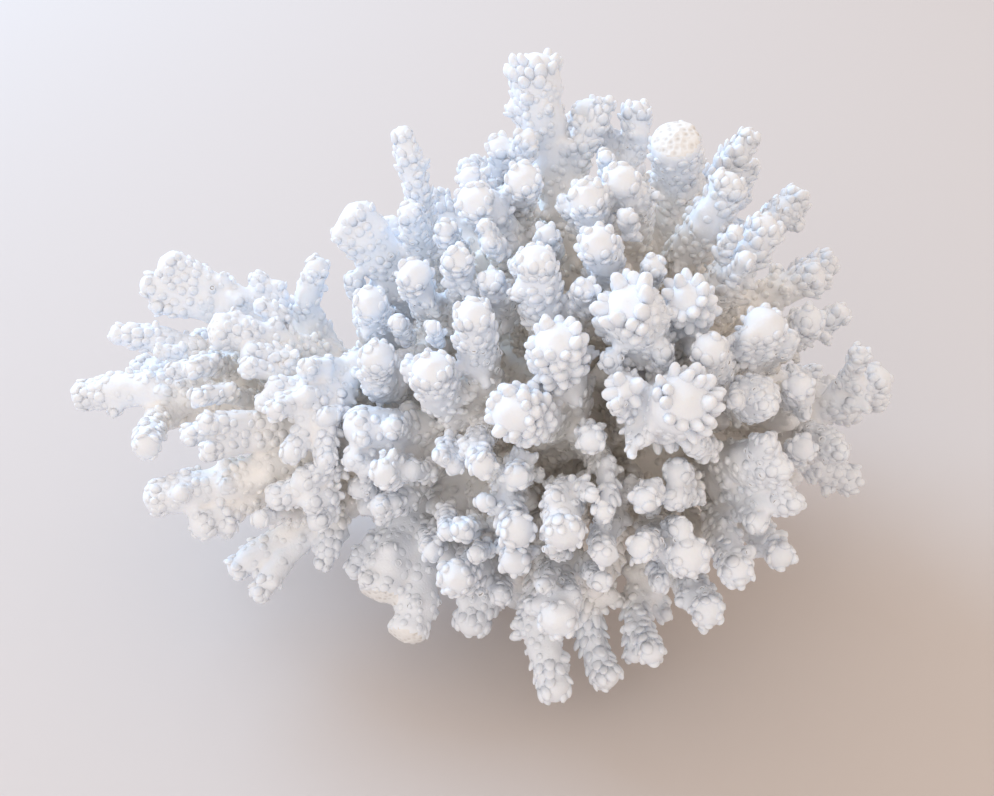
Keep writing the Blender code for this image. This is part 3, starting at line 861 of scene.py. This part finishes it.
# The bare body of a finger: a ball whose rings are laid along the finger's line
def fingerBody(line):
    deselectAll()
    at, along = pathOf(line["points"])
    length = along[-1] - fingerShape["dome"]
    rings = round(length / fingerShape["ringSpacing"])
    bpy.ops.mesh.primitive_uv_sphere_add(segments=fingerShape["segments"], ring_count=rings,
                                         radius=1)
    body = bpy.context.object
    for vertex in body.data.vertices:
        up = 1 - math.acos(max(-1.0, min(1.0, vertex.co.z))) / math.pi
        reach = up * length
        radius = bodyRadius(line, along, reach, length - reach)
        place, tangent, side = at(reach)
        out = Vector((vertex.co.x, vertex.co.y))
        if out.length < 1e-4:  # the ball's poles
            radius = 0
        else:
            out.normalize()
        way = side * out.x + tangent.cross(side) * out.y
        spot = place + way * radius
        swell = (fingerShape["lumpiness"] * noise.noise(spot / fingerShape["lumpSize"])
                 + fingerShape["bumpiness"] * noise.noise(spot / fingerShape["bumpSize"]))
        vertex.co = place + way * radius * (1 + swell)
    return body


# Places spread evenly at random over a surface, at least `spacing` apart
def scatter(piece, spacing, dice):
    polygons = list(piece.data.polygons)
    dice.shuffle(polygons)
    taken = {}
    spots = []
    for polygon in polygons:
        place = polygon.center
        x, y, z = (int(v // spacing) for v in place)
        near = (other for i in (-1, 0, 1) for j in (-1, 0, 1) for k in (-1, 0, 1)
                for other in taken.get((x + i, y + j, z + k), ()))
        if any((place - other).length < spacing for other in near):
            continue
        taken.setdefault((x, y, z), []).append(place.copy())
        spots.append((place.copy(), polygon.normal.copy()))
    return spots


nubLook = {
    "spacing": 1.38 * mm,
    "massSpacing": 2.15 * mm,  # on the holdfast, where the nubs are wide and low
    "massWidth": 1.3,
    "massBeyond": 2.5,        # radii from a finger's line where the holdfast begins
    "radius": (0.58 * mm, 0.88 * mm),
    "widest": 0.5,            # of a finger's radius
    "length": (1.0 * mm, 1.6 * mm),   # of a nub, out of the bare body
    "deepLength": (0.7 * mm, 1.3 * mm),
    "deep": 0.4,              # share of a finger that is deep between its neighbours
    "patchLength": (0.35 * mm, 0.65 * mm),
    "least": 0.5,             # share of the length that is left on thin fingers
    "thinFinger": 0.6 * mm,   # their radius
    "thicker": 2 * mm,        # and how much more has nubs of the full length
    "tipLength": 0.45,        # share of the length at a plain tip
    "tipRise": 0.55,          # and what it gains
    "tipReach": 2.2,          # over this many radii
    "blossomFrom": 1.1,       # a finger with nubs as high as this blossoms at its tip
    "blossom": 1.2,           # how much wider a nub is there
    "blossomReach": 3,
    "foot": 1.35,             # how much wider a nub is where it stands
    "rooted": 0.4 * mm,       # how deep it goes into the body
    "lean": (0.6, 1.15),      # tipwards, low on a finger and near its tip
    "blossomLean": 0.5,
    "patch": 13 * mm,         # the size of the pored patches
    "patchShare": -0.14,      # the higher, the more of the surface is pored
    "wornLeftOf": -22 * mm,   # the arm is too worn to show its cups, and its nubs are low
    "worn": 0.6,
    "missing": 0.05,
    "cupsOnTop": (0.015, 0.5),  # how often a nub is open, outside and on a pored patch
    "closedBeyond": 0.9,      # share of a finger beyond which no nub is open
    "domeReach": 1.3,
    "domeFacing": (0.86, 0.84),  # a smooth dome faces the tip: on a plain tip, on a blossom
    "seed": 5,
}


# One nub, 1 radius wide and 1 length proud, standing on the origin
def nubModel():
    deselectAll()
    bpy.ops.mesh.primitive_uv_sphere_add(segments=8, ring_count=6, radius=1)
    nub = bpy.context.object
    nub.name = "nub"
    bpy.ops.object.mode_set(mode="EDIT")
    pickBelow(nub, -0.1)
    bpy.ops.mesh.merge(type="CENTER")
    pickBelow(nub, 0.1)
    bpy.ops.transform.translate(value=(0, 0, -1))
    bpy.ops.transform.resize(value=(nubLook["foot"], nubLook["foot"], 1))
    bpy.ops.object.mode_set(mode="OBJECT")
    return nub


def pickBelow(piece, height):
    bpy.ops.mesh.select_all(action="DESELECT")
    shape = bmesh.from_edit_mesh(piece.data)
    for vertex in shape.verts:
        vertex.select_set(vertex.co.z < height)
    shape.select_flush(True)
    bmesh.update_edit_mesh(piece.data)


# One cup with its low rim, standing on the origin: a shallow dish whose floor carries the dark
# painted shade of a hole
def cupModel(materials):
    deselectAll()
    sunk, rim = cupLook["sunk"], cupLook["rim"]
    bpy.ops.mesh.primitive_cylinder_add(vertices=8, radius=cupLook["radius"], depth=sunk + rim,
                                        location=(0, 0, (rim - sunk) / 2))
    cup = bpy.context.object
    bpy.ops.object.transform_apply(location=True, rotation=True, scale=True)
    cup.name = "cup"
    for material in materials:
        cup.data.materials.append(material)
    bpy.ops.object.mode_set(mode="EDIT")
    bpy.ops.mesh.select_mode(type="FACE")
    pickFacing(cup, Vector((0, 0, -1)))
    bpy.ops.mesh.delete(type="FACE")
    pickFacing(cup, Vector((0, 0, 1)))
    wall = cupLook["radius"] - cupLook["hole"]
    bpy.ops.mesh.inset(thickness=wall * cupLook["rimShare"])
    bpy.ops.mesh.inset(thickness=wall * cupLook["slopeShare"], depth=cupLook["floor"] - rim)
    # the floor gets the painted shade of the hole
    cup.active_material_index = 1
    bpy.ops.object.material_slot_assign()
    bpy.ops.object.mode_set(mode="OBJECT")
    bpy.ops.object.shade_smooth()
    return cup


def pickFacing(piece, way):
    shape = bmesh.from_edit_mesh(piece.data)
    for face in shape.faces:
        face.select_set(face.normal.dot(way) > 0.9)
    bmesh.update_edit_mesh(piece.data)


# A copy that stands flat on a surface and leans its own way
def copyTo(model, place, normal, way, width, length):
    copied = addObject(model.name, model.data.copy())
    side = normal.orthogonal().normalized()
    axes = Matrix((side * width, normal.cross(side) * width, way * length)).transposed()
    copied.data.transform(Matrix.Translation(place) @ axes.to_4x4())
    return copied


# Every finger's sections, a millimetre apart: place, direction, way left to the tip, finger
def sectionsOf(lines):
    sections = []
    for line in lines:
        at, along = pathOf(line["points"])
        for n in range(int(along[-1] / mm) + 1):
            place, tangent, _ = at(n * mm)
            sections.append((place, tangent, along[-1] - n * mm, along[-1], line))
    tree = kdtree.KDTree(len(sections))
    for k, section in enumerate(sections):
        tree.insert(section[0], k)
    tree.balance()
    return sections, tree


# Gives the end of a broken finger the look of its section
def markBroken(piece, line):
    points = line["points"]
    way = (points[-1] - points[-3]).normalized()
    for polygon in piece.data.polygons:
        near = (polygon.center - points[-1]).length < line["full"] * brokenLook["reach"]
        if near and polygon.normal.dot(way) > brokenLook["facing"]:
            polygon.material_index = 2


# Where a place on a body is: on which finger, how far up it, and how it faces that finger's tip
def spotAt(place, normal, sections, tree):
    _, k, distance = tree.find(place)
    _, tangent, left, length, line = sections[k]
    out = 1 - left / length
    onMass = distance > line["full"] * nubLook["massBeyond"]
    if onMass:
        tangent, out = normal, 0.0
    spot = {"line": line, "left": left, "out": out, "onMass": onMass, "tangent": tangent,
            "facing": normal.dot(tangent), "blossom": line["nub"] >= nubLook["blossomFrom"]}
    pored = noise.noise(place / nubLook["patch"]) < nubLook["patchShare"]
    pored = pored or line["nub"] < poredBelow
    spot["pored"] = (pored and left > line["full"] and not spot["blossom"]
                     and place.x > nubLook["wornLeftOf"])
    return spot


# A finger's smooth dome and its broken end have no nubs, and some are missing elsewhere
def isBare(spot, dice):
    line, left = spot["line"], spot["left"]
    atDome = (left < line["full"] * nubLook["domeReach"]
              and spot["facing"] > nubLook["domeFacing"][spot["blossom"]])
    atBreak = line["broken"] and left < line["full"] * brokenLook["bare"]
    return atDome or atBreak or dice.random() < nubLook["missing"]


def nubSize(spot, dice):
    line, left, out = spot["line"], spot["left"], spot["out"]
    width = min(dice.uniform(*nubLook["radius"]), line["full"] * nubLook["widest"])
    tall = dice.uniform(*nubLook["length"]) * nubShare(line)
    lean = nubLook["lean"][0] + (nubLook["lean"][1] - nubLook["lean"][0]) * out
    if spot["onMass"]:
        width *= nubLook["massWidth"]
        tall = dice.uniform(*nubLook["patchLength"])
    elif spot["pored"]:
        tall = dice.uniform(*nubLook["patchLength"])
    elif out < nubLook["deep"]:
        tall = dice.uniform(*nubLook["deepLength"])
    elif spot["blossom"] and left < line["full"] * nubLook["blossomReach"]:
        width *= nubLook["blossom"]
        lean = nubLook["blossomLean"]
    else:
        rise = nubLook["tipRise"] * left / (line["full"] * nubLook["tipReach"])
        tall *= min(1.0, nubLook["tipLength"] + rise)
    return width, tall, lean


# Open cups on the surface that is nearest to each place
def setCups(piece, cup, wanted, dice):
    shell = bvhtree.BVHTree.FromPolygons([v.co.copy() for v in piece.data.vertices],
                                         [p.vertices[:] for p in piece.data.polygons])
    cups = []
    for place, way in wanted:
        spot, normal, _, _ = shell.find_nearest(place)
        if spot is not None and spot.z > cupLook["lowest"]:
            size = dice.uniform(*cupLook["size"])
            out = (normal + way).normalized()
            cups.append(copyTo(cup, spot, out, out, size, size))
    return cups


# Covers a bare body with nubs, and sets cups on the ends of some of them
def coverWithNubs(piece, lines, models, dice, spacing):
    nub, cup = models
    sections, tree = sectionsOf(lines)
    nubs = []
    cupsWanted = []
    for place, normal in scatter(piece, spacing, dice):
        spot = spotAt(place, normal, sections, tree)
        if isBare(spot, dice):
            continue
        width, tall, lean = nubSize(spot, dice)
        way = (normal + (spot["tangent"] - normal * spot["facing"]) * lean).normalized()
        end = place + way * tall
        if end.z < nubLook["radius"][1] and spot["out"]:
            continue
        half = (tall + nubLook["rooted"]) / 2
        nubs.append(copyTo(nub, place + way * (tall - half), normal, way, width, half))
        mayOpen = spot["out"] < nubLook["closedBeyond"]
        if mayOpen and dice.random() < nubLook["cupsOnTop"][spot["pored"]]:
            cupsWanted.append((end, way))
    joinAll([piece, *nubs])
    cups = setCups(piece, cup, cupsWanted, dice)
    piece.data.materials.clear()
    for material in cup.data.materials:
        piece.data.materials.append(material)
    for line in lines:
        if line["broken"]:
            markBroken(piece, line)
    joinAll([piece, *cups])
    bpy.ops.object.shade_smooth()
    return len(nubs), len(cups)


knobLook = {
    "every": 3.6 * mm,        # one knob to this length of finger
    "radius": (1.0 * mm, 1.7 * mm),
    "proud": (1.2 * mm, 4.8 * mm),
    "widest": 0.62,           # of the finger's radius
    "fullFrom": 3.5 * mm,     # the radius of a finger whose knobs aren't shortened
    "lean": (0.5, 1.1),
    "nub": 0.75,
    "from": 0.22,             # share of the finger's length from which knobs grow
    "to": 0.85,
    "lowest": 2 * mm,
}


# Short side knobs, where a finger has begun to fork again
def sideKnobs(line, dice):
    at, along = pathOf(line["points"])
    knobs = []
    for _ in range(round(along[-1] / knobLook["every"])):
        share = dice.uniform(knobLook["from"], knobLook["to"])
        place, tangent, side = at(along[-1] * share)
        turn = dice.uniform(0, math.tau)
        out = side * math.cos(turn) + tangent.cross(side) * math.sin(turn)
        radius = min(dice.uniform(*knobLook["radius"]), line["full"] * knobLook["widest"])
        proud = dice.uniform(*knobLook["proud"]) * min(1.0, line["full"] / knobLook["fullFrom"])
        way = (out + tangent * dice.uniform(*knobLook["lean"])).normalized()
        end = place + out * (line["full"] - fingerShape["nubHeight"]) + way * proud
        if end.z < knobLook["lowest"]:
            continue
        knobs.append(rod(place, end, radius, min(line["nub"], knobLook["nub"])))
    return knobs


# Twigs too small for the solids, by the branch that carries them: tip and root in pixels, width
# in mm and how far out they are
twigs = {
    "front_left_branch": [
        ((359, 470), (382, 506), 2.2, 0.99), ((352, 488), (392, 486), 4.2, 0.86),
        ((404, 470), (436, 470), 4.0, 0.90),
    ],
    "left_lower_branch": [
        ((262, 502), (330, 480), 5.4, 0.86), ((290, 486), (344, 462), 5.0, 0.88),
        ((300, 508), (340, 490), 4.0, 0.92), ((325, 456), (322, 474), 2.6, 0.99),
    ],
    "left_foot_branch": [
        ((289, 568), (293, 544), 2.6, 0.94), ((308, 530), (336, 502), 4.2, 0.92),
    ],
    "left_upper_branch": [
        ((236, 352), (300, 362), 4.6, 0.88), ((250, 300), (290, 322), 3.6, 1.0),
        ((228, 296), (262, 312), 3.4, 1.0),
    ],
    "left_face_branch": [
        ((262, 388), (318, 384), 4.4, 0.88), ((250, 404), (310, 400), 4.2, 0.84),
        ((296, 398), (330, 392), 3.4, 0.96), ((318, 420), (344, 410), 3.6, 0.98),
    ],
    "left_end_branch": [
        ((160, 372), (210, 366), 3.8, 0.94), ((148, 352), (190, 352), 3.2, 0.98),
    ],
    "low_left_branch": [
        ((372, 560), (396, 520), 4.2, 0.92), ((410, 574), (420, 536), 4.4, 0.92),
        ((448, 536), (446, 508), 3.6, 0.94),
    ],
    "middle_left_branch": [
        ((452, 474), (466, 440), 3.4, 0.92), ((438, 462), (450, 438), 3.0, 0.96),
        ((516, 392), (510, 420), 3.4, 0.92),
    ],
    "centre_right_branch": [
        ((632, 462), (630, 424), 2.0, 1.0), ((646, 446), (640, 416), 3.0, 0.97),
        ((606, 352), (622, 384), 3.6, 0.92), ((664, 344), (660, 376), 4.4, 0.92),
        ((612, 400), (628, 420), 2.6, 1.02),
    ],
    "front_branch": [
        ((546, 548), (572, 556), 2.4, 1.0), ((548, 500), (570, 486), 3.0, 0.98),
        ((596, 500), (578, 480), 3.0, 0.98), ((540, 590), (556, 570), 3.0, 0.98),
    ],
    "right_lower_branch": [
        ((672, 470), (690, 480), 5.0, 0.86), ((668, 500), (700, 492), 4.6, 0.90),
        ((690, 440), (712, 452), 4.4, 0.90), ((762, 530), (740, 504), 4.2, 0.94),
    ],
    "low_right_branch": [
        ((652, 486), (650, 510), 4.6, 0.90), ((686, 530), (668, 524), 4.2, 0.94),
        ((664, 590), (650, 562), 3.6, 0.92),
    ],
    "top_left_branch": [
        ((484, 240), (506, 256), 3.4, 0.94), ((512, 262), (526, 276), 3.2, 0.92),
        ((480, 222), (500, 240), 3.0, 0.98),
    ],
    "top_branch": [
        ((560, 196), (580, 226), 3.6, 0.92), ((606, 150), (606, 184), 3.4, 0.98),
        ((624, 210), (632, 236), 3.2, 0.96),
    ],
    "right_face_branch": [
        ((692, 380), (714, 386), 3.4, 0.94), ((752, 330), (740, 360), 3.2, 0.98),
        ((736, 404), (738, 388), 3.0, 0.98),
    ],
    "right_upper_branch": [
        ((752, 250), (728, 284), 3.4, 0.98), ((742, 222), (716, 264), 3.2, 0.98),
    ],
    "upper_left_branch": [
        ((396, 318), (410, 342), 3.2, 0.96), ((430, 322), (440, 344), 3.0, 0.98),
        ((484, 300), (480, 324), 3.0, 0.94),
    ],
    "front_low_branch": [
        ((480, 500), (500, 508), 3.4, 0.94), ((472, 556), (492, 546), 3.2, 0.96),
        ((500, 600), (504, 570), 3.8, 0.92),
    ],
}
twigNub = 0.75


# A short straight branchlet
def rod(start, end, radius, nub):
    points = [start, start.lerp(end, 0.35), start.lerp(end, 0.7), end]
    return {"points": points, "radii": [radius] * 4, "full": radius, "nub": nub, "broken": False}


def picturedTwigs(branch):
    rods = []
    for tip, root, width, depth in twigs.get(branch, ()):
        end = placeOnCrown(tip, depth, growth["lowestTip"])
        start = placeOnCrown(root, depth * growth["twigRoot"], growth["lowestTip"])
        rods.append(rod(start, end, width * mm / 2, twigNub))
    return rods


def growBranch(seat, lines, models, dice):
    knobs = [knob for line in lines for knob in sideKnobs(line, dice)]
    knobs += picturedTwigs(seat["branch"])
    branch = joinAll([fingerBody(line) for line in [*lines, *knobs]])
    branch.name = seat["branch"] + "_coral"
    fuseSkin(branch, fingerShape["grain"], fingerShape["relax"])
    return branch, coverWithNubs(branch, lines + knobs, models, dice, nubLook["spacing"])


stubLook = {
    "spacing": 5.8 * mm,
    "radius": (1.8 * mm, 2.7 * mm),
    "length": (9 * mm, 19 * mm),
    "root": 3 * mm,
    "swell": (1.2, 1.1, 1, 1),
    "nub": 0.9,
    "lowest": 15 * mm,
    "leastSlope": -0.3,
}


# Inner stubs between the stems, which never grew out to the crown
def innerStubs(mass, dice):
    stubs = []
    for place, normal in scatter(mass, stubLook["spacing"], dice):
        if place.z < stubLook["lowest"] or normal.z < stubLook["leastSlope"]:
            continue
        length = dice.uniform(*stubLook["length"])
        radius = dice.uniform(*stubLook["radius"])
        points = [place - normal * stubLook["root"], place, place + normal * length / 2,
                  place + normal * length]
        stubs.append({"points": points, "radii": [radius * s for s in stubLook["swell"]],
                      "full": radius, "nub": stubLook["nub"], "broken": False})
    return stubs


# The low mass below the branches, with worn stumps round its foot
def massBody(dice):
    deselectAll()
    shapes = []
    left, right = holdfast["ridgeLeft"], holdfast["ridgeRight"]
    along = right - left
    turn = along.to_track_quat("Z", "Y").to_euler()
    bpy.ops.mesh.primitive_cone_add(vertices=48, radius1=holdfast["leftRadius"],
                                    radius2=holdfast["rightRadius"], depth=along.length,
                                    location=left.lerp(right, 0.5), rotation=turn)
    shapes.append(bpy.context.object)
    for centre, radius in ((left, holdfast["leftRadius"]), (right, holdfast["rightRadius"])):
        bpy.ops.mesh.primitive_uv_sphere_add(segments=48, ring_count=24, radius=radius,
                                             location=centre)
        shapes.append(bpy.context.object)
    height, spare = holdfast["footHeight"], holdfast["spare"]
    bpy.ops.mesh.primitive_cone_add(vertices=48, radius1=holdfast["footRadius"],
                                    radius2=holdfast["footTopRadius"], depth=height + spare,
                                    location=(0, 0, (height - spare) / 2))
    shapes.append(bpy.context.object)
    for n in range(holdfast["lumps"]):
        turn = math.tau * n / holdfast["lumps"] + dice.uniform(*holdfast["lumpTurn"])
        out = (holdfast["footRadius"] - holdfast["lumpRadius"]
               + dice.uniform(*holdfast["lumpOut"]) * holdfast["footBulge"])
        bpy.ops.mesh.primitive_uv_sphere_add(
            segments=32, ring_count=16,
            radius=holdfast["lumpRadius"] * dice.uniform(*holdfast["lumpSize"]),
            location=(out * math.cos(turn), out * math.sin(turn),
                      dice.uniform(*holdfast["lumpHeight"]) * mm))
        shapes.append(bpy.context.object)
    mass = joinAll(shapes)
    mass.name = "holdfast_coral"
    bpy.ops.object.transform_apply(location=True, rotation=True, scale=True)
    fuseSkin(mass, holdfast["grain"], holdfast["relax"])
    return mass


def roughen(mass):
    places = []
    for vertex in mass.data.vertices:
        place = vertex.co.copy()
        swell = sum(height * noise.noise(place / size) for size, height in holdfast["rough"])
        places.extend(place + vertex.normal * swell)
    mass.data.vertices.foreach_set("co", places)
    mass.data.update()


# The flat cut on which the colony rests, porous like a broken finger
def cutFlat(mass):
    bpy.ops.object.mode_set(mode="EDIT")
    bpy.ops.mesh.select_mode(type="FACE")
    bpy.ops.mesh.select_all(action="SELECT")
    bpy.ops.mesh.bisect(plane_co=(0, 0, 0), plane_no=(0, 0, 1), use_fill=True, clear_inner=True,
                        threshold=0.0001 * mm)
    shape = bmesh.from_edit_mesh(mass.data)
    for face in shape.faces:
        face.select_set(face.normal.z < holdfast["cutFacing"]
                        and face.calc_center_median().z < holdfast["cutHeight"])
    bmesh.update_edit_mesh(mass.data)
    mass.active_material_index = 2
    bpy.ops.object.material_slot_assign()
    bpy.ops.object.mode_set(mode="OBJECT")


def growHoldfast(models, dice):
    mass = massBody(dice)
    stubs = innerStubs(mass, dice)
    mass = joinAll([mass, *[fingerBody(stub) for stub in stubs]])
    fuseSkin(mass, holdfast["stubGrain"], holdfast["stubRelax"])
    roughen(mass)
    counts = coverWithNubs(mass, stubs, models, dice, nubLook["massSpacing"])
    cutFlat(mass)
    bpy.ops.object.shade_smooth_by_angle(angle=math.radians(60))
    return mass, counts


# The floor, the light and the camera

studio = {
    "floorColour": (0.600, 0.553, 0.534, 1),
    "floorRoughness": 0.85,
    "floorDrop": 0.02 * mm,   # so that it doesn't flicker through the cut
    "key": {"place": (-0.56, 0.48, 0.50), "size": 0.60, "power": 7.3,
            "colour": (0.43, 0.70, 1.0)},
    "fill": {"place": (-0.28, -0.48, 0.30), "size": 0.6, "power": 0.7,
             "colour": (0.92, 0.96, 1.0)},
    "worldColour": (1.0, 0.87, 0.768, 1),
    "worldStrength": 0.96,
}


def lightFrom(name, place, size, power, colour):
    light = bpy.data.lights.new(name, "AREA")
    light.shape = "DISK"
    light.size = size
    light.energy = power
    light.color = colour
    holder = addObject(name, light)
    holder.location = place
    towards = photo["aim"] - Vector(place)
    holder.rotation_euler = towards.to_track_quat("-Z", "Y").to_euler()


def setStudio():
    deselectAll()
    bpy.ops.mesh.primitive_plane_add(size=6, location=(0, 0, -studio["floorDrop"]))
    floor = bpy.context.object
    floor.name = "floor"
    material, surface = newMaterial("pale_paper")
    feed(material, surface, {"Base Color": studio["floorColour"],
                             "Roughness": studio["floorRoughness"]})
    floor.data.materials.append(material)
    for name in ("key", "fill"):
        lightFrom(name, **studio[name])
    world = bpy.data.worlds.new("room")
    bpy.context.scene.world = world
    world.use_nodes = True
    sky = world.node_tree.nodes["Background"]
    sky.inputs["Color"].default_value = studio["worldColour"]
    sky.inputs["Strength"].default_value = studio["worldStrength"]
    bpy.context.scene.view_settings.view_transform = "Standard"
    camera = bpy.data.cameras.new("camera")
    camera.lens = photo["lens"]
    camera.sensor_width = photo["sensor"]
    holder = addObject("camera", camera)
    holder.location = photo["aim"] - forwardWay() * photo["distance"]
    holder.rotation_euler = (math.pi / 2 - photo["elevation"], 0, 0)
    bpy.context.scene.camera = holder


def trianglesOf(piece):
    piece.data.calc_loop_triangles()
    return len(piece.data.loop_triangles)


def main():
    setStudio()
    materials = [bleachedSkeleton(), cupFloorShade(), brokenSection()]
    seats, lines, massDice = grow()
    print("grown", len(lines), "fingers on", len(seats), "branches")
    dice = random.Random(nubLook["seed"])
    models = nubModel(), cupModel(materials)
    mass, counts = growHoldfast(models, massDice)
    pieces = {"holdfast": mass}
    print("holdfast,", *counts, "nubs and cups,", trianglesOf(mass), "triangles")
    total = trianglesOf(mass)
    for seat in seats:
        own = [line for line in lines if line["seat"] is seat]
        branch, counts = growBranch(seat, own, models, dice)
        pieces[seat["branch"]] = branch
        total += trianglesOf(branch)
        print(seat["branch"], len(own), "fingers,", *counts, "nubs and cups,",
              trianglesOf(branch), "triangles")
    print("triangles in all", total)
    for model in models:
        bpy.data.objects.remove(model)
    for node, piece in pieces.items():
        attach(piece, "root")
        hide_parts(node)


main()
